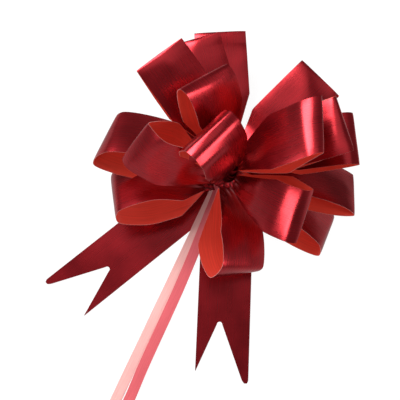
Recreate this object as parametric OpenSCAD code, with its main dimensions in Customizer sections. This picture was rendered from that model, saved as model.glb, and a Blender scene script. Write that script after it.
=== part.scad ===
// Pre-made pull bow for gift wrapping: sixteen film loops on a stack of welded necks, two tails with
// swallow cuts and the two narrow ribbons that draw it up. It rests on z = 0, dome up, necks at the origin.

/* [Ribbon] */
// Width of the wide film ribbon
ribbon_w = 31; // [20:0.5:50]
// Modelled thickness of the film
film_t = 0.35; // [0.2:0.05:1]
// Width of the ribbon where it is notched and welded at each neck
neck_w = 9; // [6:0.5:16]
// Length over which the ribbon opens from a neck to its full width
neck_l = 32; // [10:1:50]

/* [Loops] */
// Distance from a neck's centre to the start of its loops
neck_reach = 5; // [3:0.5:10]
// Pieces in the outline of one strand of a loop
strand_steps = 14; // [8:1:24]

/* [Neck stack] */
// Radius of the foot, where the tails and the pull ribbons leave
foot_r = 7.5; // [5:0.5:12]
// Height of the foot
foot_h = 8.5; // [6:0.5:12]
// Radius of the gathered necks above the foot
spine_r = 2.4; // [1.5:0.1:4]

/* [Tails] */
// Length of a tail's long point from the centre of the bow
tail_l = 129.5; // [90:0.5:200]
// Length of a tail's short point from the centre of the bow
tail_short_l = 123.5; // [80:0.5:200]
// Distance from the centre of the bow to the bottom of the swallow cut
cut_l = 95; // [60:1:160]
// Radius at the bottom of the swallow cut
cut_r = 1.6; // [0.5:0.1:4]

/* [Pull ribbons] */
// Width of each narrow pull ribbon
pull_w = 6.2; // [4:0.1:10]
// Modelled thickness of a pull ribbon
pull_t = 0.4; // [0.2:0.05:1]
// Outside radius of the coil that holds the spare length
coil_r = 35.7; // [30:0.1:60]
// Thickness of the coil's wall of turns
coil_wall = 11.4; // [3:0.2:16]

/* [Hidden] */
// One row a loop: azimuth, elevation, roll about its own axis, reach, fullness, roundness of the tip,
// and the centre of its neck. Degrees and millimetres, set out the way the loops fan round the stack.
LOOPS = [
    [188, 10,  30, 60, 18, 0.9, [-10, -15, 12]],
    [-81,  9, -26, 59, 20, 0.9, [-3, -12, 13]],
    [ 44,  8,   2, 72,  9, 0.5, [ 4,  -1, 9.6]],
    [ 93,  6,   0, 77, 10, 0.5, [-1,   1, 12]],
    [-34,  4, -30, 71, 11, 0.9, [ 0,  -6, 12]],
    [-15,  4, -28, 71,  8, 0.6, [ 0,  -2, 17.5]],
    [107, 13,   0, 73, 10, 0.5, [ 0,  -1, 18]],
    [  5, 14,  -8, 72, 10, 0.9, [ 2, 0, 21.5]],
    [168, 12,  24, 76, 14, 0.9, [-2,  -3, 18]],
    [128, 25,   0, 71, 10, 0.4, [ 0,  -1, 23]],
    [  9, 30,  -6, 71, 10, 0.9, [ 0,  -3, 26]],
    [165, 38, -30, 60, 16, 0.9, [-5, -15, 26]],
    [108, 50,  22, 60, 16, 0.9, [-1,  -6, 28]],
    [ 11, 47, -16, 60, 16, 0.9, [ 0,  -9, 34]],
    [-35, 30,  37, 55, 16, 0.9, [-1, -14, 25]],
    [122, 74,   0, 50, 18, 0.9, [-3, -17, 32]]
];

// The line of the gathered necks, from the foot up and over to the last pair of loops.
SPINE = [
    [0, 0, 9.2], [0, -1, 12], [0, -1, 19], [0, -3, 26], [-1, -9, 31],
    [-2, -15, 29], [-6, -13, 15], [-9, -14, 11.5]
];

// Tails: azimuth, sideways shift, height at the foot, distance at which it lies flat, side of the long point.
TAILS = [
    [219, 2, 1.4, 30, -1],
    [267.5, 1, 3.2, 66, 1]
];

// Routes of the pull ribbons: point and turn of the ribbon about its run, 0 flat and 90 on edge.
ROUTE_LEFT = [
    [[ 1.0,   2.2, 5.2], 0], [[-1.8,  -4.0, 5.2], 0], [[-5.6, -12.0, 5.2], 0], [[-9.3, -20.0, 5.1], 0],
    [[-13.1, -28, 4.9], 0], [[-16.9, -36, 4.6], 0], [[-20.6, -44, 4.1], 0], [[-24.4, -52, 3.1], 0],
    [[-28.2, -60, 1.8], 0], [[-32.0, -68, 0.8], 0], [[-36.7, -78, 0.4], 0], [[-43.8, -93, 0.4], 0],
    [[-50.8, -108, 0.4], 0], [[-57.9, -123, 0.4], 0], [[-64.9, -138, 0.5], 0], [[-68.7, -146, 1.3], 18],
    [[-72.0, -153, 2.5], 42], [[-75.3, -160, 3.4], 68], [[-78.6, -167, 3.8], 90], [[-81.9, -174, 3.8], 90]
];
ROUTE_RIGHT = [
    [[ 2.0,   1.8, 6.1], 0], [[-0.8,  -4.4, 6.1], 0], [[-4.0, -12.0, 6.1], 0], [[-6.9, -20.0, 6.0], 0],
    [[-10.0, -28, 5.8], 0], [[-13.2, -36, 5.5], 0], [[-16.4, -44, 5.0], 0], [[-19.6, -52, 4.0], 0],
    [[-22.9, -60, 2.7], 0], [[-26.3, -68, 1.7], 0], [[-30.6, -78, 1.2], 0], [[-37.4, -93, 1.0], 0],
    [[-44.3, -108, 1.0], 0], [[-51.0, -123, 1.1], 0], [[-57.3, -138, 1.5], 0], [[-61.6, -146, 2.9], 16],
    [[-66.6, -153, 3.6], 40], [[-72.6, -160, 3.6], 66], [[-77.5, -167.2, 3.8], 90], [[-81.3, -174.3, 3.8], 90]
];
COIL = [-48.7, -189.6, 0.7];

RED = [0.55, 0.04, 0.08];
PALE = [0.97, 0.74, 0.76];
SALMON = [0.9, 0.36, 0.4];

// Directions of a loop: along it, across the ribbon and out of its upper strand.
function along(p) = [cos(p[0]) * cos(p[1]), sin(p[0]) * cos(p[1]), sin(p[1])];
function level(p) = [-sin(p[0]), cos(p[0]), 0];
function across(p) = cos(p[2]) * level(p) + sin(p[2]) * cross(along(p), level(p));
function outward(p) = cross(along(p), across(p));

// Side view of a loop: a drop from the neck round the tip and back, as [along, outward] pairs.
function bezier(a, b, c, d, t) = pow(1 - t, 3) * a + 3 * pow(1 - t, 2) * t * b + 3 * (1 - t) * t * t * c
    + pow(t, 3) * d;
function strand(reach, full, tip) = [
    for (i = [0 : strand_steps])
        bezier([0, film_t], [reach * 0.4, full * 0.78], [reach, full * 0.55 * tip + 0.6], [reach, 0],
            i / strand_steps)
];
function drop(reach, full, tip) = let (s = strand(reach, full, tip), n = strand_steps)
    concat(s, [for (i = [1 : n]) [s[n - i][0], -s[n - i][1]]]);

// Distance along a line of points up to point i.
function run(points, i) = i == 0 ? 0 : run(points, i - 1) + norm(points[i] - points[i - 1]);
// Half width of the film at a distance from its nearest neck.
function half_width(d) = min(ribbon_w, neck_w + (ribbon_w - neck_w) * d / neck_l) / 2;
// Unit normal of a flat line of points at point i.
function side(points, i) = let (n = len(points) - 1, d = points[min(i + 1, n)] - points[max(i - 1, 0)])
    [-d[1], d[0]] / norm(d);

// A strip of film: rings of four corners [outer low, outer high, inner low, inner high] joined along it.
module strip(rings) {
    n = len(rings);
    faces = concat(
        [for (i = [0 : n - 2]) each let (a = 4 * i, b = a + 4) [
            [a, a + 1, b + 1], [a, b + 1, b],
            [a + 2, b + 3, a + 3], [a + 2, b + 2, b + 3],
            [a, b, b + 2], [a, b + 2, a + 2],
            [a + 1, b + 3, b + 1], [a + 1, a + 3, b + 3]
        ]],
        [[0, 2, 3], [0, 3, 1]],
        [[4 * n - 4, 4 * n - 3, 4 * n - 1], [4 * n - 4, 4 * n - 1, 4 * n - 2]]
    );
    polyhedron(points = [for (r = rings) each r], faces = faces, convexity = 6);
}

module loop(p) {
    l = along(p);
    w = across(p);
    f = outward(p);
    start = p[6] + neck_reach * l;
    line = drop(p[3] - neck_reach, p[4], p[5]);
    total = run(line, len(line) - 1);
    color(RED)
        strip([for (i = [0 : len(line) - 1]) let (
            d = run(line, i),
            hw = half_width(min(d, total - d)),
            o = line[i] + side(line, i) * film_t / 2,
            u = line[i] - side(line, i) * film_t / 2
        ) [
            start + o[0] * l + o[1] * f - hw * w,
            start + o[0] * l + o[1] * f + hw * w,
            start + u[0] * l + u[1] * f - hw * w,
            start + u[0] * l + u[1] * f + hw * w
        ]]);
}

// Welded tab that carries one loop from the gathered necks.
module tab(p) {
    l = along(p);
    w = across(p);
    f = outward(p);
    multmatrix([
        [l[0], w[0], f[0], p[6][0]],
        [l[1], w[1], f[1], p[6][1]],
        [l[2], w[2], f[2], p[6][2]]
    ])
        translate([-1, -neck_w / 2, -0.5])
            cube([neck_reach + 0.7, neck_w, 1]);
}

module spine() {
    for (i = [0 : len(SPINE) - 2])
        hull() {
            translate(SPINE[i]) sphere(r = spine_r, $fn = 12);
            translate(SPINE[i + 1]) sphere(r = spine_r, $fn = 12);
        }
}

module foot() {
    difference() {
        cylinder(r = foot_r, h = foot_h, $fn = 48);
        rotate([0, 0, 246])
            translate([-4, -5.3, 4.7])
                cube([20, 10.6, 1.9]);
    }
}

module neck_stack() {
    color(RED) {
        foot();
        spine();
        for (p = LOOPS)
            tab(p);
    }
}

// Height of a tail above the surface at a distance from the centre of the bow.
function tail_z(t, r) = let (q = min(1, max(0, (r - 12) / (t[3] - 12))), s = q * q * (3 - 2 * q))
    film_t / 2 + (t[2] - film_t / 2) * (1 - s);

// Plan of a tail's end: the corners of the swallow cut, with a round bottom.
module swallow_cut(t) {
    far = tail_l + 2;
    long_y = t[4] * ribbon_w / 2;
    hull() {
        translate([cut_l + cut_r, 2.3 * t[4] * -1, -1]) cylinder(r = cut_r, h = 4, $fn = 24);
        translate([far, -long_y - t[4], -1]) cylinder(r = 0.1, h = 4, $fn = 8);
        translate([far, long_y - t[4] * 2.4, -1]) cylinder(r = 0.1, h = 4, $fn = 8);
        translate([tail_short_l, -long_y, -1]) cylinder(r = 0.1, h = 4, $fn = 8);
    }
}

module tail(t) {
    steps = [for (i = [0 : 20]) foot_r + 0.3 + i * (cut_l - 15 - foot_r) / 20];
    rows = concat(steps, [tail_l]);
    z_turn = t[0];
    color(RED)
        rotate([0, 0, z_turn])
            difference() {
                strip([for (r = rows) let (
                    hw = half_width(r - foot_r),
                    c = t[1] * min(1, (r - foot_r) / neck_l),
                    z = tail_z(t, r)
                ) [
                    [r, c - hw, z + film_t / 2], [r, c + hw, z + film_t / 2],
                    [r, c - hw, z - film_t / 2], [r, c + hw, z - film_t / 2]
                ]]);
                translate([0, t[1], 0])
                    swallow_cut(t);
            }
}

// Corners of a pull ribbon round one point of its route.
function pull_ring(route, i) = let (
    n = len(route) - 1,
    d = route[min(i + 1, n)][0] - route[max(i - 1, 0)][0],
    flat_w = [-d[1], d[0], 0] / norm([d[0], d[1]]),
    a = route[i][1],
    w = cos(a) * flat_w + sin(a) * [0, 0, 1],
    u = cross(d, w) / norm(cross(d, w)),
    c = route[i][0]
) [
    c + u * pull_t / 2 - w * pull_w / 2, c + u * pull_t / 2 + w * pull_w / 2,
    c - u * pull_t / 2 - w * pull_w / 2, c - u * pull_t / 2 + w * pull_w / 2
];

module pull_ribbon(route, tint) {
    color(tint)
        strip([for (i = [0 : len(route) - 1]) pull_ring(route, i)]);
}

module ribbon_coil() {
    color(PALE)
        translate(COIL)
            rotate_extrude($fn = 96)
                translate([coil_r - coil_wall, 0])
                    square([coil_wall, pull_w + 0.4]);
}

module coil_tie() {
    wall = 0.5;
    hole = [coil_wall + 0.8, 7, pull_w + 0.6];
    color(SALMON)
        translate(COIL + [coil_r - coil_wall / 2, 0, pull_w / 2 + 0.2])
            difference() {
                cube(hole + [2 * wall, -2, 2 * wall], center = true);
                cube(hole, center = true);
            }
}

neck_stack();
for (i = [0 : len(LOOPS) - 1])
    loop(LOOPS[i]);
tail(TAILS[0]);  // tail_left
tail(TAILS[1]);  // tail_right
pull_ribbon(ROUTE_LEFT, PALE);  // pull_ribbon_left
pull_ribbon(ROUTE_RIGHT, SALMON);  // pull_ribbon_right
ribbon_coil();
coil_tie();
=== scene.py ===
"""Pre-made pull bow for gift wrapping: film loops, tails, pull ribbons and the stage they stand on."""

import math
import random

import bmesh
import bpy
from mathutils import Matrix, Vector, noise


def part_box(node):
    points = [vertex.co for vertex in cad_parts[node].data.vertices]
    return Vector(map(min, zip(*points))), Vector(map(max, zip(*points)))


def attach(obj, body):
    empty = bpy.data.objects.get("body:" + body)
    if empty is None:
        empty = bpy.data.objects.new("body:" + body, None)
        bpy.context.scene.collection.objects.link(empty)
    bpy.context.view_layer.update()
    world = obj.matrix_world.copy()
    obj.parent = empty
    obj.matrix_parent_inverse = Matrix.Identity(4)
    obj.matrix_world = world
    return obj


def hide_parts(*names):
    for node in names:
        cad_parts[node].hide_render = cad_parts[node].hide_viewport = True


bl_info = {
    "name": "Pull bow",
    "version": (1, 0, 0),
    "blender": (4, 5, 0),
    "location": "3D View > Sidebar > Pull bow",
    "description": "Builds a pre-made pull bow of satin film on its packed frame",
    "category": "Add Mesh",
}

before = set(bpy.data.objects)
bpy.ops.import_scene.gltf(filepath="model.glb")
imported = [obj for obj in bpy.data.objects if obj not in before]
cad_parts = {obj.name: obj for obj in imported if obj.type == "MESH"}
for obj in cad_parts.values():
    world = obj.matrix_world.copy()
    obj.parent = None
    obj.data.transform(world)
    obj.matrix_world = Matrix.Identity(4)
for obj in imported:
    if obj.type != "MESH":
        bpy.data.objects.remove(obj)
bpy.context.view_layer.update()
bpy.ops.object.select_all(action="DESELECT")

MM = 0.001

# One row a loop, as the part lays them out: azimuth, elevation, roll about its own axis, reach, fullness,
# roundness of the tip, and the centre of its neck. Degrees and millimetres.
LOOPS = [
    [188, 10, 30, 60, 18, 0.9, [-10, -15, 12]],
    [-81, 9, -26, 59, 20, 0.9, [-3, -12, 13]],
    [44, 8, 2, 72, 9, 0.5, [4, -1, 9.6]],
    [93, 6, 0, 77, 10, 0.5, [-1, 1, 12]],
    [-34, 4, -30, 71, 11, 0.9, [0, -6, 12]],
    [-15, 4, -28, 71, 8, 0.6, [0, -2, 17.5]],
    [107, 13, 0, 73, 10, 0.5, [0, -1, 18]],
    [5, 14, -8, 72, 10, 0.9, [2, 0, 21.5]],
    [168, 12, 24, 76, 14, 0.9, [-2, -3, 18]],
    [128, 25, 0, 71, 10, 0.4, [0, -1, 23]],
    [9, 30, -6, 71, 10, 0.9, [0, -3, 26]],
    [165, 38, -30, 60, 16, 0.9, [-5, -15, 26]],
    [108, 50, 22, 60, 16, 0.9, [-1, -6, 28]],
    [11, 47, -16, 60, 16, 0.9, [0, -9, 34]],
    [-35, 30, 37, 55, 16, 0.9, [-1, -14, 25]],
    [122, 74, 0, 50, 18, 0.9, [-3, -17, 32]],
]

# How the film of each loop is bent.
# creases: places round the drop (0 neck, 1 tip, 2 neck again), and sharp: how firmly they are set.
# slant: lean of the creases across the ribbon. fuller: how much more one edge bellies out than the other.
# twist: turn of the tip, and lean: how far the film rises or sinks past its neck, both in degrees.
# skew: how far the lower strand wanders across, gape: spare belly, and longer: spare reach, all in mm.
# shoulder: how slowly the notch opens.
# pleats: straight soft folds from (place, share of half the width) to (place, share), and their slope.
BENDS = [
    dict(creases=[0.40, 0.80, 1.16, 1.55], sharp=0.45, slant=0.02, fuller=0.10, skew=2.0, gape=1.0,
         shoulder=0.50, pleats=[(0.10, 0.90, 1.00, -0.60, 0.03)]),
    dict(creases=[0.36, 0.80, 1.15, 1.60], sharp=0.50, slant=0.03, fuller=-0.20, twist=-8,
         skew=-3.5, gape=0.5, pleats=[(0.20, -0.20, 1.00, 0.50, 0.03)]),
    dict(creases=[0.30, 0.62, 0.93, 1.02, 1.40], sharp=0.60, shoulder=0.75,
         pleats=[(0.30, -1.00, 1.00, 1.00, 0.13)]),
    dict(creases=[0.34, 0.70, 0.95, 1.03, 1.42], sharp=0.60, slant=0.02,
         pleats=[(0.15, -0.20, 1.00, 0.35, 0.09)]),
    dict(creases=[0.40, 0.80, 1.14, 1.60], sharp=0.50, slant=0.02, fuller=-0.25, twist=-6,
         skew=-3.0, gape=2.0, pleats=[(0.20, 0.20, 1.00, -0.40, 0.03)]),
    dict(creases=[0.36, 0.74, 1.02, 1.50], sharp=0.50, slant=-0.02, fuller=-0.25, twist=-4,
         skew=-3.5, gape=2.0, longer=4.0, pleats=[(0.30, 0.80, 1.00, -0.20, 0.04)]),
    dict(creases=[0.32, 0.62, 0.84, 1.03, 1.45], sharp=0.70, slant=0.04, gape=1.0,
         pleats=[(0.30, 0.90, 1.00, -0.30, 0.14)]),
    dict(creases=[0.36, 0.76, 1.12, 1.60], sharp=0.50, slant=0.02, fuller=0.04,
         pleats=[(0.20, 0.50, 1.00, -0.50, 0.03)]),
    dict(creases=[0.34, 0.74, 1.18, 1.62], sharp=0.45, slant=-0.02, fuller=0.40, twist=-8, skew=5.0,
         gape=3.0, longer=-2.5, pleats=[(0.15, 0.10, 1.00, 0.50, 0.02)]),
    dict(creases=[0.30, 0.56, 0.78, 0.95, 1.05, 1.44], sharp=0.72, slant=0.02, gape=1.5,
         pleats=[(0.20, -0.60, 1.00, 0.10, 0.06)]),
    dict(creases=[0.34, 0.74, 1.14, 1.60], sharp=0.50, slant=0.05, fuller=-0.15, twist=6, skew=2.5,
         pleats=[(0.20, 0.30, 1.00, -0.60, 0.03)]),
    dict(creases=[0.34, 0.62, 0.74, 1.06, 1.60], sharp=0.75, slant=0.05, fuller=-0.25, twist=-26,
         skew=-1.0, gape=1.5, lean=-3, pleats=[(0.10, 0.20, 0.95, 0.70, 0.03)]),
    dict(creases=[0.34, 0.74, 0.96, 1.10, 1.58], sharp=0.60, slant=0.04, fuller=0.15, twist=4,
         skew=4.0, gape=-5.5, pleats=[(0.20, 0.60, 1.00, -0.20, 0.03)]),
    dict(creases=[0.36, 0.70, 1.10, 1.60], sharp=0.50, slant=-0.03, fuller=0.05, skew=4.0,
         longer=5.0, pleats=[(0.20, -0.60, 1.00, 0.40, 0.02)]),
    dict(creases=[0.30, 0.55, 0.78, 1.10, 1.60], sharp=0.65, slant=0.03, fuller=0.05,
         pleats=[(0.40, 0.10, 1.00, 0.10, 0.03)]),
    dict(creases=[0.36, 0.64, 0.84, 1.04, 1.30, 1.62], sharp=0.70, slant=0.06, fuller=0.10,
         twist=17, gape=2.5, longer=2.0, lean=-3.5, pleats=[(0.20, 0.00, 1.00, -0.30, 0.02)]),
]

# The line of the gathered necks, from the foot up and over to the last pair of loops, in millimetres.
SPINE = [
    [0, 0, 9.2], [0, -1, 12], [0, -1, 19], [0, -3, 26], [-1, -9, 31],
    [-2, -15, 29], [-6, -13, 15], [-9, -14, 11.5],
]

# Tails: azimuth in degrees, then in mm the sideways shift, height at the foot and distance at which it lies
# flat, and the side of the long point.
TAILS = {
    "tail_left": [219, 2, 1.4, 30, -1],
    "tail_right": [267.5, 1, 3.2, 66, 1],
}

# Routes of the pull ribbons, in metres, with the ribbon's turn about its run: 0 flat, 90 on edge.
ROUTES = {
    "left": [
        [(0.0010, 0.0022, 0.0052), 0], [(-0.0018, -0.0040, 0.0052), 0], [(-0.0056, -0.0120, 0.0052), 0],
        [(-0.0093, -0.0200, 0.0051), 0], [(-0.0131, -0.0280, 0.0049), 0], [(-0.0169, -0.0360, 0.0046), 0],
        [(-0.0206, -0.0440, 0.0041), 0], [(-0.0244, -0.0520, 0.0031), 0], [(-0.0282, -0.0600, 0.0018), 0],
        [(-0.0320, -0.0680, 0.0008), 0], [(-0.0367, -0.0780, 0.0004), 0], [(-0.0438, -0.0930, 0.0004), 0],
        [(-0.0508, -0.1080, 0.0004), 0], [(-0.0579, -0.1230, 0.0004), 0], [(-0.0649, -0.1380, 0.0005), 0],
        [(-0.0687, -0.1460, 0.0013), 18], [(-0.0720, -0.1530, 0.0025), 42],
        [(-0.0753, -0.1600, 0.0034), 68],
        [(-0.0786, -0.1670, 0.0038), 90], [(-0.0819, -0.1740, 0.0038), 90],
    ],
    "right": [
        [(0.0020, 0.0018, 0.0061), 0], [(-0.0008, -0.0044, 0.0061), 0], [(-0.0040, -0.0120, 0.0061), 0],
        [(-0.0069, -0.0200, 0.0060), 0], [(-0.0100, -0.0280, 0.0058), 0], [(-0.0132, -0.0360, 0.0055), 0],
        [(-0.0164, -0.0440, 0.0050), 0], [(-0.0196, -0.0520, 0.0040), 0], [(-0.0229, -0.0600, 0.0027), 0],
        [(-0.0263, -0.0680, 0.0017), 0], [(-0.0306, -0.0780, 0.0012), 0], [(-0.0374, -0.0930, 0.0010), 0],
        [(-0.0443, -0.1080, 0.0010), 0], [(-0.0510, -0.1230, 0.0011), 0], [(-0.0573, -0.1380, 0.0015), 0],
        [(-0.0616, -0.1460, 0.0029), 16], [(-0.0666, -0.1530, 0.0036), 40],
        [(-0.0726, -0.1600, 0.0036), 66],
        [(-0.0775, -0.1672, 0.0038), 90], [(-0.0813, -0.1743, 0.0038), 90],
    ],
}
# Middle of the coil, in metres.
COIL = Vector((-0.0487, -0.1896, 0.0038))


def linear(hex_colour):
    """An sRGB hex colour as linear red, green, blue and alpha."""
    parts = [int(hex_colour[i:i + 2], 16) / 255 for i in (1, 3, 5)]
    return tuple(c / 12.92 if c <= 0.04045 else ((c + 0.055) / 1.055) ** 2.4 for c in parts) + (1.0,)


class BowSettings(bpy.types.PropertyGroup):
    """Sizes and colours of the bow that a user would change."""

    ribbon_width: bpy.props.FloatProperty(
        name="Ribbon width", description="Width of the wide film ribbon",
        default=31 * MM, min=0.01, max=0.08, unit="LENGTH")
    neck_width: bpy.props.FloatProperty(
        name="Neck width", description="Width of the film at its notched and welded neck",
        default=9 * MM, min=0.003, max=0.03, unit="LENGTH")
    neck_length: bpy.props.FloatProperty(
        name="Neck length", description="Length over which the film opens to its full width",
        default=32 * MM, min=0.005, max=0.08, unit="LENGTH")
    film_thickness: bpy.props.FloatProperty(
        name="Film thickness", description="Thickness that the film is drawn with",
        default=0.26 * MM, min=0.0001, max=0.001, unit="LENGTH")
    tail_length: bpy.props.FloatProperty(
        name="Tail length", description="From the middle of the bow to a tail's long point",
        default=129.5 * MM, min=0.05, max=0.3, unit="LENGTH")
    tail_short: bpy.props.FloatProperty(
        name="Short point", description="From the middle of the bow to a tail's short point",
        default=123.5 * MM, min=0.05, max=0.3, unit="LENGTH")
    cut_start: bpy.props.FloatProperty(
        name="Swallow cut", description="From the middle of the bow to the bottom of the swallow cut",
        default=95 * MM, min=0.03, max=0.25, unit="LENGTH")
    pull_width: bpy.props.FloatProperty(
        name="Pull ribbon width", description="Width of each narrow pull ribbon",
        default=6.2 * MM, min=0.002, max=0.02, unit="LENGTH")
    coil_pitch: bpy.props.FloatProperty(
        name="Coil pitch", description="Step from one turn of a pull ribbon to its next turn",
        default=2.3 * MM, min=0.001, max=0.01, unit="LENGTH")
    coil_turns: bpy.props.FloatProperty(
        name="Coil turns", description="Turns of each pull ribbon in the coil", default=4.8, min=1, max=12)
    film_colour: bpy.props.FloatVectorProperty(
        name="Film colour", description="Colour of the film's metallised face",
        subtype="COLOR", size=4, min=0, max=1, default=linear("#B8202A"))
    film_shade: bpy.props.FloatVectorProperty(
        name="Film shade", description="Deeper red in the film's mottling",
        subtype="COLOR", size=4, min=0, max=1, default=linear("#9C1620"))
    inner_colour: bpy.props.FloatVectorProperty(
        name="Inner face colour", description="Colour of the film's uncoated inner face",
        subtype="COLOR", size=4, min=0, max=1, default=linear("#DA4232"))
    edge_colour: bpy.props.FloatVectorProperty(
        name="Cut edge colour", description="Colour of the film's cut edge, where the base shows",
        subtype="COLOR", size=4, min=0, max=1, default=linear("#E48A86"))
    pale_colour: bpy.props.FloatVectorProperty(
        name="Pale pull ribbon", description="Colour of the left pull ribbon",
        subtype="COLOR", size=4, min=0, max=1, default=linear("#F8B9B4"))
    salmon_colour: bpy.props.FloatVectorProperty(
        name="Salmon pull ribbon", description="Colour of the right pull ribbon",
        subtype="COLOR", size=4, min=0, max=1, default=linear("#E0626A"))


def settings():
    """The bow's sizes and colours, as the panel holds them."""
    return bpy.context.scene.pull_bow


# ---- materials -------------------------------------------------------------------------------------------

def set_inputs(node, **values):
    """Set a node's inputs by name, with _ for a space."""
    for key, value in values.items():
        node.inputs[key.replace("_", " ")].default_value = value


def add_node(tree, kind, links=(), stops=(), **values):
    """Add a node, set its properties, its inputs and a ramp's (place, colour) stops, and link (source
    socket, input name) pairs."""
    made = tree.nodes.new(kind)
    for key, value in values.items():
        if hasattr(made, key):
            setattr(made, key, value)
        else:
            set_inputs(made, **{key: value})
    for source, name in links:
        tree.links.new(source, made.inputs[name])
    for i, (place, colour) in enumerate(stops):
        made.color_ramp.elements[i].position = place
        made.color_ramp.elements[i].color = colour
    return made


def new_material(name):
    """The named material, and its node tree and shader where it is new and still has to be filled in."""
    made = bpy.data.materials.get(name)
    if made:
        return made, None, None
    made = bpy.data.materials.new(name)
    made.use_nodes = True
    tree = made.node_tree
    return made, tree, tree.nodes["Principled BSDF"]


def grey(value):
    return (value, value, value, 1.0)


def darker(colour, share):
    """A linear colour with its light scaled down to a share."""
    return tuple(c * share for c in colour[:3]) + (1.0,)


def strip_lines(tree, across_mm, along_mm):
    """Noise drawn out along the ribbon, from the film's own map in metres along and across it."""
    place = add_node(tree, "ShaderNodeUVMap", uv_map="film")
    stretch = add_node(tree, "ShaderNodeMapping", [(place.outputs["UV"], "Vector")],
                       Scale=(1000 / along_mm, 1000 / across_mm, 1))
    return add_node(tree, "ShaderNodeTexNoise", [(stretch.outputs["Vector"], "Vector")],
                    Scale=1.0, Detail=3.0, Roughness=0.6).outputs["Fac"]


def satin_film():
    """Vacuum-metallised satin polypropylene, red: the lacquered metal gives deep reds with broad soft
    highlights, and the clear film over it a pale sheen at a glancing angle."""
    made, tree, shader = new_material("metallised_satin_film")
    if not tree:
        return made
    s = settings()
    place = add_node(tree, "ShaderNodeTexCoord")
    # Mottling of the metal coat, taken as about 20 mm across.
    mottle = add_node(tree, "ShaderNodeTexNoise", [(place.outputs["Object"], "Vector")],
                      Scale=50.0, Detail=2.0, Roughness=0.5)
    # Calender lines, taken as some hundredths of a millimetre apart; drawn 1 mm apart so that they show.
    lines = strip_lines(tree, 1.0, 40)
    # Wider bands of a little more and less gloss, a guess.
    broad = strip_lines(tree, 2.4, 60)
    tint = add_node(tree, "ShaderNodeValToRGB", [(mottle.outputs["Fac"], "Fac")],
                    stops=[(0.35, tuple(s.film_shade)), (0.65, tuple(s.film_colour))])
    streak = add_node(tree, "ShaderNodeValToRGB", [(lines, "Fac")],
                      stops=[(0.30, grey(0.80)), (0.70, grey(1.0))])
    colour = add_node(tree, "ShaderNodeMix", data_type="RGBA", blend_type="MULTIPLY", Factor=0.14)
    tree.links.new(tint.outputs["Color"], colour.inputs["A"])
    tree.links.new(streak.outputs["Color"], colour.inputs["B"])
    tree.links.new(colour.outputs["Result"], shader.inputs["Base Color"])
    rough = add_node(tree, "ShaderNodeMapRange", [(broad, "Value")], To_Min=0.25, To_Max=0.30)
    tree.links.new(rough.outputs["Result"], shader.inputs["Roughness"])
    raised = add_node(tree, "ShaderNodeBump", [(lines, "Height")], Strength=0.006, Distance=0.0001)
    tree.links.new(raised.outputs["Normal"], shader.inputs["Normal"])
    set_inputs(shader, Metallic=0.88, Coat_Weight=0.3, Coat_Roughness=0.22, Coat_IOR=1.49)
    return made


def bare_film():
    """The uncoated back of the same film: translucent polypropylene dyed orange-red, close to matt."""
    made, tree, shader = new_material("uncoated_film_back")
    if not tree:
        return made
    inner = tuple(settings().inner_colour)
    # The same lines, drawn 0.7 mm apart so that they show.
    lines = strip_lines(tree, 0.7, 30)
    tint = add_node(tree, "ShaderNodeValToRGB", [(lines, "Fac")],
                    stops=[(0.3, darker(inner, 0.72)), (0.7, inner)])
    tree.links.new(tint.outputs["Color"], shader.inputs["Base Color"])
    rough = add_node(tree, "ShaderNodeMapRange", [(lines, "Value")], To_Min=0.32, To_Max=0.44)
    tree.links.new(rough.outputs["Result"], shader.inputs["Roughness"])
    raised = add_node(tree, "ShaderNodeBump", [(lines, "Height")], Strength=0.12, Distance=0.0001)
    tree.links.new(raised.outputs["Normal"], shader.inputs["Normal"])
    # The emission stands for light that comes through the thin film from its other side.
    set_inputs(shader, Specular_IOR_Level=0.6, IOR=1.49, Emission_Color=inner, Emission_Strength=0.14)
    return made


def cut_edge():
    """Slit edge of the film, where the metal ends and the pale stretched plastic shows."""
    made, tree, shader = new_material("slit_film_edge")
    if not tree:
        return made
    edge = tuple(settings().edge_colour)
    # Nicks of the slitting knife, too fine to show at their real size; drawn 0.8 mm long.
    grain = strip_lines(tree, 0.3, 0.8)
    tint = add_node(tree, "ShaderNodeValToRGB", [(grain, "Fac")],
                    stops=[(0.3, darker(edge, 0.6)), (0.7, edge)])
    tree.links.new(tint.outputs["Color"], shader.inputs["Base Color"])
    set_inputs(shader, Roughness=0.45)
    return made


def pull_film(name, colour):
    """Narrow polypropylene pull ribbon, ribbed along its length and lightly glossy."""
    made, tree, shader = new_material(name)
    if not tree:
        return made
    # Ribs pressed along the ribbon, taken as 0.45 mm apart.
    lines = strip_lines(tree, 0.45, 18)
    tint = add_node(tree, "ShaderNodeValToRGB", [(lines, "Fac")],
                    stops=[(0.32, darker(colour, 0.84)), (0.62, colour)])
    tree.links.new(tint.outputs["Color"], shader.inputs["Base Color"])
    rough = add_node(tree, "ShaderNodeMapRange", [(lines, "Value")], To_Min=0.32, To_Max=0.46)
    tree.links.new(rough.outputs["Result"], shader.inputs["Roughness"])
    raised = add_node(tree, "ShaderNodeBump", [(lines, "Height")], Strength=0.2, Distance=0.00012)
    tree.links.new(raised.outputs["Normal"], shader.inputs["Normal"])
    set_inputs(shader, Coat_Weight=0.2, Coat_Roughness=0.3)
    return made


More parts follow.
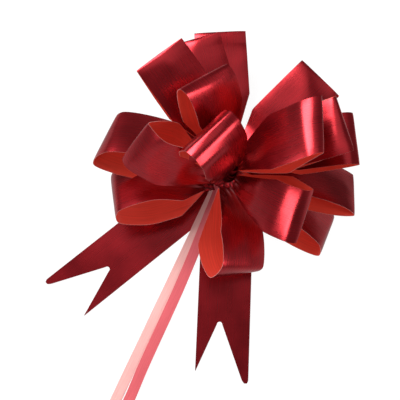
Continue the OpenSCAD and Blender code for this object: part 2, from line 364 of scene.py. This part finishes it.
def welded_film():
    """Film crushed and heat-welded at the necks and striped by the weld's ribs: the same red, with painted
    shade that darkens it in the grooves between the ribs.
    """
    made, tree, shader = new_material("heat_welded_film")
    if not tree:
        return made
    s = settings()
    place = add_node(tree, "ShaderNodeTexCoord")
    # Weld ribs about 0.8 mm wide, so 1.6 mm from one to the next.
    ribs = add_node(tree, "ShaderNodeTexWave", [(place.outputs["Object"], "Vector")], wave_type="BANDS",
                    bands_direction="Z", Scale=200.0, Distortion=3.0, Detail=2.0, Detail_Scale=1.5)
    # Painted shade: the colour turns deep red in the rib grooves, where the bump below sets the film low.
    tint = add_node(tree, "ShaderNodeValToRGB", [(ribs.outputs["Fac"], "Fac")],
                    stops=[(0.2, darker(s.film_shade, 0.4)), (0.8, tuple(s.film_colour))])
    tree.links.new(tint.outputs["Color"], shader.inputs["Base Color"])
    raised = add_node(tree, "ShaderNodeBump", [(ribs.outputs["Fac"], "Height")],
                      Strength=0.4, Distance=0.0003)
    tree.links.new(raised.outputs["Normal"], shader.inputs["Normal"])
    set_inputs(shader, Metallic=0.6, Roughness=0.42)
    return made


# ---- shared making ---------------------------------------------------------------------------------------

def new_piece(name, points, faces, uvs, materials):
    """A mesh object at the origin with the film's own map, in metres along and across the strip."""
    mesh = bpy.data.meshes.new(name)
    mesh.from_pydata([tuple(p) for p in points], [], faces)
    layer = mesh.uv_layers.new(name="film")
    for loop in mesh.loops:
        layer.data[loop.index].uv = uvs[loop.vertex_index]
    made = bpy.data.objects.new(name, mesh)
    bpy.context.scene.collection.objects.link(made)
    for material in materials:
        mesh.materials.append(material)
    return made


def only(piece):
    bpy.ops.object.select_all(action="DESELECT")
    piece.select_set(True)
    bpy.context.view_layer.objects.active = piece


def edit_all():
    """Open the active object in edit mode with all of it selected."""
    bpy.ops.object.mode_set(mode="EDIT")
    bpy.ops.mesh.select_all(action="SELECT")


def edit_box(size, middle):
    """Size and place all of a unit shape in edit mode, so that its object stays at the origin, unscaled."""
    edit_all()
    bpy.ops.transform.resize(value=size)
    bpy.ops.transform.translate(value=middle)


def added(name=None):
    """The object that a primitive_*_add call has just made, named where a name is given."""
    made = bpy.context.active_object
    if name:
        made.name = made.data.name = name
    return made


def shade_and_leave(piece, angle):
    """Smooth shading up to an angle in degrees between faces; the piece ends unselected."""
    only(piece)
    bpy.ops.object.shade_smooth_by_angle(angle=math.radians(angle))
    piece.select_set(False)


def apply_all(piece):
    only(piece)
    for modifier in list(piece.modifiers):
        bpy.ops.object.modifier_apply(modifier=modifier.name)


def thicken(piece, thickness):
    """Give a sheet its thickness: the back takes the second material and the cut edge the third."""
    made = piece.modifiers.new("film", "SOLIDIFY")
    made.thickness = thickness
    made.offset = -1
    made.material_offset = 1
    made.material_offset_rim = 2
    apply_all(piece)
    shade_and_leave(piece, 50)


def finish_piece(piece, body, slot, *nodes):
    """Hang a piece on the empty of the body that it rides on, and hide the parts of the model that it
    stands for. The slot is not used.
    """
    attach(piece, body)
    if nodes:
        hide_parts(*nodes)


# ---- loops -----------------------------------------------------------------------------------------------

# How far each loop's film starts inside its weld, the gap between its two layers there, and the run over
# which the film opens out of the weld.
IN_WELD = 5 * MM
LAYER_GAP = 0.35 * MM
OPENING = 18 * MM
# Steps of the film's grid: round the loop and across the ribbon.
LONG_STEPS, WIDE_STEPS = 132, 18
# Heights of the film's crown and gathers beside the weld, its slow and fine waves, and its edges' curl.
CROWN, GATHERS, SLOW_WAVE, FINE_WAVE, EDGE_CURL = 2.7 * MM, 0.28 * MM, 0.20 * MM, 0.04 * MM, 0.22 * MM
# Pleats are gone by this place round the drop, so that the lower strand never shows past the upper one.
PLEATS_END, PLEATS_FADE = 0.97, 0.22


def loop_axes(row, lean=0):
    """Directions of a loop: along it, across the ribbon, and out of its upper strand."""
    azimuth, elevation, roll = (math.radians(a) for a in (row[0], row[1] + lean, row[2]))
    along = Vector((math.cos(azimuth) * math.cos(elevation), math.sin(azimuth) * math.cos(elevation),
                    math.sin(elevation)))
    level = Vector((-math.sin(azimuth), math.cos(azimuth), 0))
    across = math.cos(roll) * level + math.sin(roll) * along.cross(level)
    return along, across, along.cross(across)


def drop_point(t, reach, full, tip, gap):
    """Side view of a loop at t from 0, at the neck, through 1, at the tip, to 2, back at the neck."""
    side = 1 if t <= 1 else -1
    t = t if t <= 1 else 2 - t
    t = min(1.0, max(0.0, t))
    a, b = (0.0, gap), (reach * 0.4, full * 0.78)
    c, d = (reach, full * 0.55 * tip + 0.6 * MM), (reach, 0.0)
    k = ((1 - t) ** 3, 3 * (1 - t) ** 2 * t, 3 * (1 - t) * t * t, t ** 3)
    x, y = (sum(w * p[i] for w, p in zip(k, (a, b, c, d))) for i in (0, 1))
    return Vector((x, side * y))


def creased_point(t, corners, sharpness, shape):
    """A point of the drop drawn towards straight runs between its creases, whose corners stay soft."""
    total = Vector((0.0, 0.0))
    for shift in (-0.05, -0.025, 0.0, 0.025, 0.05):
        u = min(2.0, max(0.0, t + shift))
        k = max(i for i, c in enumerate(corners[:-1]) if c <= u)
        low, high = corners[k], corners[k + 1]
        share = (u - low) / (high - low)
        total += drop_point(low, *shape).lerp(drop_point(high, *shape), share)
    return drop_point(t, *shape).lerp(total / 5, sharpness)


def off_line(x, y, x0, y0, x1, y1):
    """Distance of a point of the flat film from a straight fold, rounded off beside the fold."""
    way = Vector((x1 - x0, y1 - y0)).normalized()
    off = (x - x0) * way.y - (y - y0) * way.x
    return math.sqrt(off * off + (1.4 * MM) ** 2) - 1.4 * MM


def loop_film(number, row, bend):
    """One loop of film: a flat strip of the ribbon, notched at both necks, bent round to meet itself."""
    s = settings()
    rng = random.Random(700 + number)
    along, across, outward = loop_axes(row, bend.get("lean", 0))
    start = Vector(row[6]) * MM + along * IN_WELD
    creases, sharpness = bend["creases"], bend["sharp"]
    slant, fuller, skew = (bend.get(key, 0.0) for key in ("slant", "fuller", "skew"))
    twist = math.radians(bend.get("twist", 0))
    neck_length = s.neck_length * bend.get("shoulder", 1.0)
    edge = s.ribbon_width / 2
    reach = (row[3] + bend.get("longer", 0.0)) * MM - IN_WELD
    full, tip = (row[4] + bend.get("gape", 0.0)) * MM, row[5]
    shape = (reach, full, tip, LAYER_GAP)
    middle = [creased_point(2 * i / LONG_STEPS, [0.0, *creases, 2.0], sharpness, shape)
              for i in range(LONG_STEPS + 1)]
    run = [0.0]
    for a, b in zip(middle, middle[1:]):
        run.append(run[-1] + (b - a).length)
    total = run[-1]
    seed = Vector((rng.uniform(-50, 50), rng.uniform(-50, 50), rng.uniform(-50, 50)))
    points, uvs = [], []
    for i in range(LONG_STEPS + 1):
        t = 2 * i / LONG_STEPS
        near = min(run[i], total - run[i])
        half = min(s.ribbon_width, s.neck_width + (s.ribbon_width - s.neck_width) * near / neck_length) / 2
        open_share = min(1.0, near / OPENING)
        rest = open_share * open_share * (3 - 2 * open_share)
        for j in range(WIDE_STEPS + 1):
            v = 2 * j / WIDE_STEPS - 1
            shape = (reach * (1 + 0.12 * fuller * v), full * (1 + fuller * v), tip, LAYER_GAP)
            corners = [0.0, *[c + slant * v for c in creases], 2.0]
            here = creased_point(t, corners, sharpness, shape)
            after = creased_point(min(2.0, t + 0.02), corners, sharpness, shape)
            before = creased_point(max(0.0, t - 0.02), corners, sharpness, shape)
            run_way = (after - before).normalized()
            out = Vector((-run_way.y, run_way.x))
            # Film stands proud in the middle where it leaves the weld, with small gathers beside it.
            lift = CROWN * (1 - v * v) * rest * (1 - rest)
            shut = (1 - open_share) ** 2 * min(1, near / (2 * MM))
            lift += GATHERS * math.cos(9.4 * v + number) * shut
            # Slow waves along the film and a light curl of its edges.
            where = Vector((run[i] / (15 * MM), v * 0.55, 0)) + seed
            lift += SLOW_WAVE * rest * noise.noise(where)
            fine = Vector((run[i] / (6 * MM), v * 0.25 + slant * run[i] * 200, 3.1)) + seed
            lift += FINE_WAVE * rest * noise.noise(fine)
            lift -= EDGE_CURL * rest * abs(v) ** 7
            for t0, v0, t1, v1, slope in bend["pleats"] if t < PLEATS_END else []:
                fade = rest * min(1.0, (PLEATS_END - t) / PLEATS_FADE)
                fold = (t0 * reach, v0 * edge, t1 * reach, v1 * edge)
                lift -= slope * fade * off_line(t * reach, v * edge, *fold)
            at = here + out * lift
            share = min(1.0, max(0.0, at.x / reach))
            turn = twist * share * share * (3 - 2 * share)
            wide = math.cos(turn) * across + math.sin(turn) * outward
            high = math.cos(turn) * outward - math.sin(turn) * across
            wander = skew * MM * math.sin(math.pi * max(0.0, (t - 0.5) / 1.5)) ** 2
            points.append(start + along * at.x + high * at.y + wide * (half * v + wander))
            uvs.append((run[i], half * v))
    row_size = WIDE_STEPS + 1
    faces = [(i * row_size + j, i * row_size + j + 1, (i + 1) * row_size + j + 1, (i + 1) * row_size + j)
             for i in range(LONG_STEPS) for j in range(WIDE_STEPS)]
    name = f"loop_{number:02d}"
    made = new_piece(f"film_{name}", points, faces, uvs, [satin_film(), bare_film(), cut_edge()])
    upper, centre = LONG_STEPS // 6, WIDE_STEPS // 2  # a place on the upper strand
    if (points[row_size * upper + centre] - start).dot(outward) < 0:
        raise RuntimeError(f"{name} is inside out")
    if made.data.polygons[WIDE_STEPS * upper + centre].normal.dot(outward) < 0:
        made.data.flip_normals()
    thicken(made, s.film_thickness)
    finish_piece(made, name, "satin_film", name)
    return made


class PULLBOW_OT_film_loops(bpy.types.Operator):
    """Bend sixteen notched lengths of film into the bow's loops"""

    bl_idname = "pullbow.film_loops"
    bl_label = "Film loops"

    def execute(self, context):
        for i, (row, bend) in enumerate(zip(LOOPS, BENDS)):
            loop_film(i + 1, row, bend)
        return {"FINISHED"}


# ---- tails -----------------------------------------------------------------------------------------------

# Where a tail's film starts, the radius at the bottom of its swallow cut, how far that lies off the tail's
# middle, how far inside the ribbon's edge its two points end, its steps across and its thickness.
TAIL_FOOT = 7.8 * MM
CUT_RADIUS = 1.6 * MM
CUT_OFF_MIDDLE = 2.3 * MM
LONG_POINT, SHORT_POINT = 3.1 * MM, 0.25 * MM
TAIL_COLUMNS = 8
TAIL_THICK = 0.2 * MM
# Distance from the bow's middle where a tail starts down, and its height where it lies flat.
TAIL_LEAVES, TAIL_LOW = 12 * MM, 0.2 * MM


def tail_height(row, r):
    """Height of a tail's middle above the surface at a distance from the middle of the bow."""
    q = min(1.0, max(0.0, (r - TAIL_LEAVES) / (row[3] * MM - TAIL_LEAVES)))
    eased = q * q * (3 - 2 * q)
    return TAIL_LOW + (row[2] * MM - TAIL_LOW) * (1 - eased)


def tail_film(name, row):
    """One tail: the end of the wide ribbon, notched at its neck and cut to a swallow tail."""
    s = settings()
    azimuth, side = math.radians(row[0]), row[4]
    run_way = Vector((math.cos(azimuth), math.sin(azimuth), 0))
    cross_way = Vector((-math.sin(azimuth), math.cos(azimuth), 0))
    foot, radius = TAIL_FOOT, CUT_RADIUS
    middle = -CUT_OFF_MIDDLE * side
    edge = s.ribbon_width / 2
    seed = Vector((row[0], 3.0, 7.0))
    rows = [foot + (s.cut_start - foot) * i / 52 for i in range(53)]
    forks = [s.cut_start + radius * f for f in (0.06, 0.25, 0.6, 1.0)]
    ends = {side: s.tail_length, -side: s.tail_short}
    inner_end = {side: (edge - LONG_POINT) * side, -side: -(edge - SHORT_POINT) * side}
    points, uvs, faces = [], [], []

    def place(r, c):
        """Add a point of the tail, whose free end waves a little."""
        shift = row[1] * MM * min(1.0, (r - foot) / s.neck_length)
        wave = noise.noise(Vector((r / (24 * MM), c / (40 * MM), 0)) + seed)
        free = min(1.0, max(0.0, (r - 70 * MM) / (50 * MM)))
        curl = (c / edge) ** 2 * 0.25 * MM * min(1.0, r / (60 * MM))
        wavy = (0.10 * MM + 0.45 * MM * free) * (wave + 0.6) * 0.5
        z = tail_height(row, r) + 0.12 * MM + wavy + curl * free
        points.append(run_way * r + cross_way * (c + shift) + Vector((0, 0, z)))
        uvs.append((r, c))
        return len(points) - 1

    def half_at(r):
        """Half the tail's width, which opens from the notch."""
        opened = s.neck_width + (s.ribbon_width - s.neck_width) * (r - foot) / s.neck_length
        return min(s.ribbon_width, opened) / 2

    def cut_side(r, sign):
        """Edge of the swallow cut on one side of its middle."""
        if r <= s.cut_start:
            return middle
        bottom = s.cut_start + radius
        if r < bottom:
            return middle + sign * math.sqrt(max(0.0, radius ** 2 - (bottom - r) ** 2))
        share = (r - bottom) / (ends[sign] - bottom)
        first = middle + sign * radius
        return first + (inner_end[sign] - first) * share

    for sign in (1, -1):
        reach = ends[sign]
        far = [s.cut_start + radius + (reach - s.cut_start - radius) * i / 22 for i in range(1, 23)]
        grid = []
        for r in rows + forks + far:
            low, high = cut_side(r, sign), sign * half_at(r)
            past = r - reach + 1.6 * MM
            if past > 0 and sign == side:  # the long point has its corners taken off
                high -= sign * past * 0.5
                low += sign * past * 0.4
            grid.append([place(r, low + (high - low) * k / TAIL_COLUMNS) for k in range(TAIL_COLUMNS + 1)])
        for a, b in zip(grid, grid[1:]):
            for k in range(TAIL_COLUMNS):
                quad = (a[k], b[k], b[k + 1], a[k + 1])
                faces.append(quad if sign == 1 else quad[::-1])
    made = new_piece(f"film_{name}", points, faces, uvs, [satin_film(), bare_film(), cut_edge()])
    work = bmesh.new()
    work.from_mesh(made.data)
    bmesh.ops.remove_doubles(work, verts=work.verts, dist=0.01 * MM)
    work.to_mesh(made.data)
    work.free()
    if made.data.polygons[40].normal.z < 0:
        made.data.flip_normals()
    thicken(made, TAIL_THICK)
    finish_piece(made, name, "satin_film", name)
    return made


class PULLBOW_OT_tails(bpy.types.Operator):
    """Cut the two swallow tails and lay them under the bow"""

    bl_idname = "pullbow.tails"
    bl_label = "Tails"

    def execute(self, context):
        for name, row in TAILS.items():
            tail_film(name, row)
        return {"FINISHED"}


# ---- pull ribbons ----------------------------------------------------------------------------------------

# The pull ribbon: its thickness, how far its middle stands proud, its steps across, and the number of
# points in a turn of the coil.
PULL_THICK = 0.16 * MM
PULL_CROWN = 0.12 * MM
PULL_COLUMNS = 4
TURN_STEPS = 60


def smooth_route(stations, step):
    """Points and turns along a smooth curve through a route's stations, about step apart."""
    out = []
    n = len(stations)
    for i in range(n - 1):
        p = [Vector(stations[min(n - 1, max(0, i + k))][0]) for k in (-1, 0, 1, 2)]
        turn_a, turn_b = stations[i][1], stations[i + 1][1]
        parts = max(1, round((p[2] - p[1]).length / step))
        for k in range(parts):
            t = k / parts
            at = 0.5 * ((2 * p[1]) + (p[2] - p[0]) * t + (2 * p[0] - 5 * p[1] + 4 * p[2] - p[3]) * t * t
                        + (3 * p[1] - p[0] - 3 * p[2] + p[3]) * t ** 3)
            out.append((at, turn_a + (turn_b - turn_a) * t * t * (3 - 2 * t)))
    out.append((Vector(stations[-1][0]), stations[-1][1]))
    return out


def coiled(last, pitch, turns):
    """Points of the coil that a pull ribbon runs on into, on edge, each turn inside the one before."""
    flat = last - COIL
    radius, angle = math.hypot(flat.x, flat.y), math.atan2(flat.y, flat.x)
    count = round(turns * TURN_STEPS)
    out = []
    for i in range(1, count + 1):
        share = i / TURN_STEPS
        r = radius - pitch * share + 0.25 * MM * math.sin(3 * share * math.tau) * min(1, share)
        a = angle + math.tau * share
        out.append((Vector((COIL.x + r * math.cos(a), COIL.y + r * math.sin(a), last.z)), 90))
    return out


def pull_ribbon(side, material, slot, nodes):
    """One narrow pull ribbon, from the foot of the bow, out along the surface and into its coil."""
    s = settings()
    line = smooth_route(ROUTES[side], 2.5 * MM)
    line += coiled(line[-1][0], s.coil_pitch, s.coil_turns)
    half = s.pull_width / 2
    points, uvs, run = [], [], 0.0
    n = len(line)
    for i, (at, turn) in enumerate(line):
        way = line[min(i + 1, n - 1)][0] - line[max(i - 1, 0)][0]
        level = Vector((-way.y, way.x, 0)).normalized()
        turn = math.radians(turn)
        wide = math.cos(turn) * level + math.sin(turn) * Vector((0, 0, 1))
        up = way.cross(wide).normalized()
        run += (at - line[max(i - 1, 0)][0]).length
        for layer in (1, -1):
            for k in range(PULL_COLUMNS + 1):
                v = (2 * k / PULL_COLUMNS - 1) * layer
                proud = PULL_CROWN * (1 - v * v) * (1 - math.sin(turn))
                points.append(at + wide * half * v + up * (layer * PULL_THICK / 2 + proud))
                uvs.append((run, half * v))
    ring = 2 * (PULL_COLUMNS + 1)
    faces = []
    for i in range(n - 1):
        a, b = i * ring, (i + 1) * ring
        for k in range(ring):
            m = (k + 1) % ring
            faces.append((a + k, a + m, b + m, b + k))
    faces.append(tuple(range(ring)))
    faces.append(tuple(reversed(range((n - 1) * ring, n * ring))))
    made = new_piece(f"pull_film_{side}", points, faces, uvs, [material])
    only(made)
    edit_all()
    bpy.ops.mesh.normals_make_consistent(inside=False)
    bpy.ops.object.mode_set(mode="OBJECT")
    shade_and_leave(made, 40)
    finish_piece(made, "pull_ribbons", slot, *nodes)
    return made


def coil_tie(material):
    """A turn of the same narrow ribbon round one side of the coil, which keeps it together."""
    low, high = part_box("coil_tie")
    middle, size = (low + high) / 2, high - low
    bpy.ops.object.select_all(action="DESELECT")
    bpy.ops.mesh.primitive_cube_add(size=1, location=(0, 0, 0))
    made = added("coil_tie_band")
    edit_box(size, middle)
    # The two ends are open, so that the band passes round the coil.
    work = bmesh.from_edit_mesh(made.data)
    for face in work.faces:
        face.select = abs(face.normal.y) > 0.9
    bmesh.update_edit_mesh(made.data)
    bpy.ops.mesh.delete(type="ONLY_FACE")
    work = bmesh.from_edit_mesh(made.data)
    for edge in work.edges:
        way = (edge.verts[1].co - edge.verts[0].co).normalized()
        edge.select = abs(way.y) > 0.9
    bmesh.update_edit_mesh(made.data)
    bpy.ops.mesh.bevel(offset=1.1 * MM, segments=5, affect="EDGES")
    bpy.ops.mesh.select_all(action="SELECT")
    bpy.ops.mesh.normals_make_consistent(inside=False)
    bpy.ops.mesh.subdivide(number_cuts=2)
    work = bmesh.from_edit_mesh(made.data)
    for vert in work.verts:  # the band is a little narrower where it is pulled tight at its middle
        away = vert.co - middle
        pinch = 1 - 0.12 * (1 - (2 * away.x / size.x) ** 2)
        vert.co.y = middle.y + away.y * pinch
    bmesh.update_edit_mesh(made.data)
    bpy.ops.object.mode_set(mode="OBJECT")
    layer = made.data.uv_layers.active or made.data.uv_layers.new(name="film")
    layer.name = "film"
    for corner in made.data.loops:
        at = made.data.vertices[corner.vertex_index].co - middle
        layer.data[corner.index].uv = (at.x + at.z, at.y)
    made.data.materials.append(material)
    wall = made.modifiers.new("wall", "SOLIDIFY")
    wall.thickness = 0.3 * MM
    wall.offset = -1
    apply_all(made)
    shade_and_leave(made, 40)
    finish_piece(made, "pull_ribbons", "salmon_film", "coil_tie")


class PULLBOW_OT_pull_ribbons(bpy.types.Operator):
    """Lay the two narrow pull ribbons out from the foot and wind their spare length into a tied coil"""

    bl_idname = "pullbow.pull_ribbons"
    bl_label = "Pull ribbons"

    def execute(self, context):
        s = settings()
        pale = pull_film("ribbed_pull_film_pale", tuple(s.pale_colour))
        salmon = pull_film("ribbed_pull_film_salmon", tuple(s.salmon_colour))
        pull_ribbon("left", pale, "pale_film", ["pull_ribbon_left", "ribbon_coil"])
        pull_ribbon("right", salmon, "salmon_film", ["pull_ribbon_right"])
        coil_tie(salmon)
        return {"FINISHED"}


# ---- neck stack ------------------------------------------------------------------------------------------

# The column of gathered necks: its radius and foot, and its width at and between its folds.
SPINE_RADIUS, SPINE_FOOT = 2.7 * MM, 8.8 * MM
FOLD_OUT, FOLD_IN = 1.16, 0.86
# Weld tabs: their size, and how far past the neck's middle they lie.
TAB_LONG, TAB_WIDE, TAB_OUT, TAB_THICK = 6.6 * MM, 8.8 * MM, 2.5 * MM, 0.7 * MM
# The foot: its radius, half the height of a fold, the number of folds, and how far they swell out.
FOOT_RADIUS, FOOT_LAYER, FOOT_FOLDS, FOOT_SWELL = 7.1 * MM, 0.44 * MM, 9, 1.06
# Slot in the foot for the pull ribbons: its size, its middle, and the way that it faces, in degrees.
SLOT_SIZE, SLOT_MIDDLE, SLOT_TURN = (20 * MM, 10.6 * MM, 1.9 * MM), (6 * MM, 0, 5.65 * MM), 246


def pleated_spine(material):
    """The gathered necks, drawn up on each other: a column pinched in and out once for each fold."""
    bpy.ops.object.select_all(action="DESELECT")
    last = Vector((0, 0, SPINE_FOOT))
    bpy.ops.mesh.primitive_circle_add(vertices=28, radius=SPINE_RADIUS, fill_type="NGON", location=last)
    made = added("gathered_necks")
    knots = [Vector(p) * MM for p in SPINE]
    stations = smooth_route([[p, 0] for p in knots], 0.75 * MM)
    edit_all()
    facing = Vector((0, 0, 1))
    wide = 1.0
    for i, (at, turn) in enumerate(stations[1:]):
        before = stations[i][0]
        after = stations[min(i + 2, len(stations) - 1)][0]
        way = (after - before).normalized()
        bpy.ops.mesh.extrude_region_move(TRANSFORM_OT_translate={"value": at - last})
        want = FOLD_OUT if i % 2 else FOLD_IN
        bpy.ops.transform.resize(value=(want / wide,) * 3, center_override=at)
        wide = want
        if facing.angle(way) > 0.01:
            work = bmesh.from_edit_mesh(made.data)
            turn_by = facing.rotation_difference(way)
            for vert in [v for v in work.verts if v.select]:
                vert.co = at + turn_by @ (vert.co - at)
            bmesh.update_edit_mesh(made.data)
            facing = way
        last = at
    bpy.ops.mesh.select_all(action="SELECT")
    bpy.ops.mesh.normals_make_consistent(inside=False)
    bpy.ops.object.mode_set(mode="OBJECT")
    for vert in made.data.vertices:
        vert.co += vert.normal * 0.35 * MM * noise.noise(vert.co * 420)
    made.data.materials.append(material)
    only(made)
    bpy.ops.object.transform_apply(location=True, rotation=True, scale=True)
    shade_and_leave(made, 32)
    return made


def weld_tab(number, row, material):
    """The crimped end of one loop: two layers welded flat, with five ribs pressed across them."""
    along, across, outward = loop_axes(row)
    centre = Vector(row[6]) * MM
    bpy.ops.object.select_all(action="DESELECT")
    bpy.ops.mesh.primitive_grid_add(x_subdivisions=22, y_subdivisions=10, size=1, location=(0, 0, 0))
    made = added(f"weld_{number:02d}")
    edit_box((TAB_LONG, TAB_WIDE, 1), (TAB_OUT, 0, 0))
    bpy.ops.object.mode_set(mode="OBJECT")
    for vert in made.data.vertices:
        x, y = vert.co.x, vert.co.y
        rib = 0.16 * MM * math.sin(x / (0.42 * MM))
        sag = 0.10 * MM * math.cos(y / (1.1 * MM) + number)
        place = centre + along * x + across * y * (1 - 0.06 * abs(math.sin(number + x * 900)))
        vert.co = place + outward * (rib + sag)
    wall = made.modifiers.new("weld", "SOLIDIFY")
    wall.thickness = TAB_THICK
    wall.offset = 0
    made.data.materials.append(material)
    apply_all(made)
    shade_and_leave(made, 40)
    return made


def layered_foot(material):
    """Foot of the stack: the first necks folded flat on each other, with the pull ribbons' way out."""
    bpy.ops.object.select_all(action="DESELECT")
    bpy.ops.mesh.primitive_cylinder_add(vertices=64, radius=FOOT_RADIUS, depth=0.4 * MM,
                                        location=(0, 0, 0.2 * MM))
    made = added("folded_foot")
    bpy.ops.object.mode_set(mode="EDIT")
    bpy.ops.mesh.select_all(action="DESELECT")
    work = bmesh.from_edit_mesh(made.data)
    for face in work.faces:
        face.select = face.normal.z > 0.9
    bmesh.update_edit_mesh(made.data)
    for i in range(FOOT_FOLDS):
        grow = FOOT_SWELL if i % 2 == 0 else 1 / FOOT_SWELL
        bpy.ops.mesh.extrude_region_move(TRANSFORM_OT_translate={"value": (0, 0, FOOT_LAYER)})
        bpy.ops.transform.resize(value=(grow, grow, 1))
        bpy.ops.mesh.extrude_region_move(TRANSFORM_OT_translate={"value": (0, 0, FOOT_LAYER)})
    bpy.ops.mesh.inset(thickness=1.2 * MM)
    bpy.ops.transform.translate(value=(0, 0, 0.12 * MM))
    bpy.ops.object.mode_set(mode="OBJECT")
    # The slot that both pull ribbons leave by, on the side they run to.
    bpy.ops.object.select_all(action="DESELECT")
    bpy.ops.mesh.primitive_cube_add(size=1, location=(0, 0, 0))
    slot = added()
    edit_box(SLOT_SIZE, SLOT_MIDDLE)
    bpy.ops.object.mode_set(mode="OBJECT")
    turn = math.radians(SLOT_TURN)
    for vert in slot.data.vertices:
        x, y = vert.co.x, vert.co.y
        vert.co.x = x * math.cos(turn) - y * math.sin(turn)
        vert.co.y = x * math.sin(turn) + y * math.cos(turn)
    cut = made.modifiers.new("slot", "BOOLEAN")
    cut.object = slot
    cut.operation = "DIFFERENCE"
    cut.solver = "EXACT"
    made.data.materials.append(material)
    apply_all(made)
    bpy.data.objects.remove(slot)
    only(made)
    bpy.ops.object.transform_apply(location=True, rotation=True, scale=True)
    shade_and_leave(made, 30)
    return made


class PULLBOW_OT_neck_stack(bpy.types.Operator):
    """Gather the welded necks into their stack, from the foot to the top of the bow"""

    bl_idname = "pullbow.neck_stack"
    bl_label = "Neck stack"

    def execute(self, context):
        material = welded_film()
        pieces = [pleated_spine(material), layered_foot(material)]
        pieces += [weld_tab(i + 1, row, material) for i, row in enumerate(LOOPS)]
        for i, piece in enumerate(pieces):
            finish_piece(piece, "stack", "satin_film", *(["neck_stack"] if i == 0 else []))
        return {"FINISHED"}


# ---- stage -----------------------------------------------------------------------------------------------

# Soft lights, all aimed at the middle of the bow: place and width and height in metres, and power in watts.
LIGHTS = {
    "key_window": [(-0.42, 0.72, 0.95), (0.55, 0.55), 12.5],
    "right_window": [(0.95, -0.30, 0.66), (0.35, 0.5), 4.5],
    "left_window": [(-1.0, 0.12, 0.66), (0.35, 0.5), 5],
    "ceiling": [(0.08, 0.36, 1.15), (0.8, 0.6), 0.95],
    "front_fill": [(-0.62, -0.78, 0.62), (0.4, 0.3), 4],
}
BOW_MIDDLE = (0, 0, 0.03)


def point_at(made, target):
    """Turn a light or camera to a target."""
    made.rotation_euler = (Vector(target) - made.location).to_track_quat("-Z", "Y").to_euler()


def soft_box(name, place, size, power):
    """A rectangular soft light at a place, turned to the middle of the bow."""
    data = bpy.data.lights.new(name, "AREA")
    data.shape = "RECTANGLE"
    data.size, data.size_y = size
    data.energy = power
    made = bpy.data.objects.new(name, data)
    made.location = place
    point_at(made, BOW_MIDDLE)
    bpy.context.scene.collection.objects.link(made)


def camera_over(target, elevation, distance, lens):
    """Camera on the -Y side, looking down at the target."""
    data = bpy.data.cameras.new("camera")
    data.lens = lens
    data.sensor_width = 36
    made = bpy.data.objects.new("camera", data)
    up = math.radians(elevation)
    made.location = Vector(target) + Vector((0, -math.cos(up), math.sin(up))) * distance
    point_at(made, target)
    bpy.context.scene.collection.objects.link(made)
    bpy.context.scene.camera = made


def white_floor():
    """A table of white card, lit so evenly that it shows as plain white. The bow mirrors it dimmer, as the
    light falls off away from the bow."""
    bpy.ops.object.select_all(action="DESELECT")
    bpy.ops.mesh.primitive_plane_add(size=6, location=(0, 0, 0))
    floor = bpy.context.active_object
    floor.name = "floor"
    made, tree, shader = new_material("matt_white_card")
    if tree:
        place = add_node(tree, "ShaderNodeTexCoord")
        grain = add_node(tree, "ShaderNodeTexNoise", [(place.outputs["Object"], "Vector")], Scale=400.0)
        tone = add_node(tree, "ShaderNodeValToRGB", [(grain.outputs["Fac"], "Fac")],
                        stops=[(0.3, grey(0.11)), (0.7, grey(0.13))])
        tree.links.new(tone.outputs["Color"], shader.inputs["Base Color"])
        seen = add_node(tree, "ShaderNodeLightPath")
        glow = add_node(tree, "ShaderNodeMapRange", [(seen.outputs["Is Camera Ray"], "Value")],
                        To_Min=0.42, To_Max=0.95)
        tree.links.new(glow.outputs["Result"], shader.inputs["Emission Strength"])
        set_inputs(shader, Roughness=0.9, Specular_IOR_Level=0.1, Emission_Color=(1, 1, 1, 1))
    floor.data.materials.append(made)
    floor.select_set(False)


class PULLBOW_OT_stage(bpy.types.Operator):
    """Set the camera, the white floor and the soft lights"""

    bl_idname = "pullbow.stage"
    bl_label = "Stage"

    def execute(self, context):
        scene = context.scene
        camera_over(target=(-0.017, -0.0222, 0), elevation=80, distance=0.4, lens=59.3)
        white_floor()
        world = bpy.data.worlds.new("studio")
        world.use_nodes = True
        set_inputs(world.node_tree.nodes["Background"], Color=(1, 1, 1, 1), Strength=0.13)
        scene.world = world
        scene.view_settings.view_transform = "Standard"
        for name, row in LIGHTS.items():
            soft_box(name, *row)
        return {"FINISHED"}


STEPS = (
    PULLBOW_OT_stage,
    PULLBOW_OT_pull_ribbons,
    PULLBOW_OT_film_loops,
    PULLBOW_OT_tails,
    PULLBOW_OT_neck_stack,
)


class PULLBOW_PT_panel(bpy.types.Panel):
    """Lists the bow's sizes, colours and making steps"""

    bl_idname = "PULLBOW_PT_panel"
    bl_label = "Pull bow"
    bl_space_type = "VIEW_3D"
    bl_region_type = "UI"
    bl_category = "Pull bow"

    def draw(self, context):
        column = self.layout.column()
        for name in BowSettings.__annotations__:
            column.prop(context.scene.pull_bow, name)
        for step in STEPS:
            column.operator(step.bl_idname)


CLASSES = (BowSettings, *STEPS, PULLBOW_PT_panel)


def register():
    for kind in CLASSES:
        bpy.utils.register_class(kind)
    bpy.types.Scene.pull_bow = bpy.props.PointerProperty(type=BowSettings)


def unregister():
    del bpy.types.Scene.pull_bow
    for kind in reversed(CLASSES):
        bpy.utils.unregister_class(kind)


def main():
    register()
    bpy.ops.pullbow.stage()
    bpy.ops.pullbow.pull_ribbons()
    bpy.ops.pullbow.film_loops()
    bpy.ops.pullbow.tails()
    bpy.ops.pullbow.neck_stack()


if __name__ == "__main__":
    main()
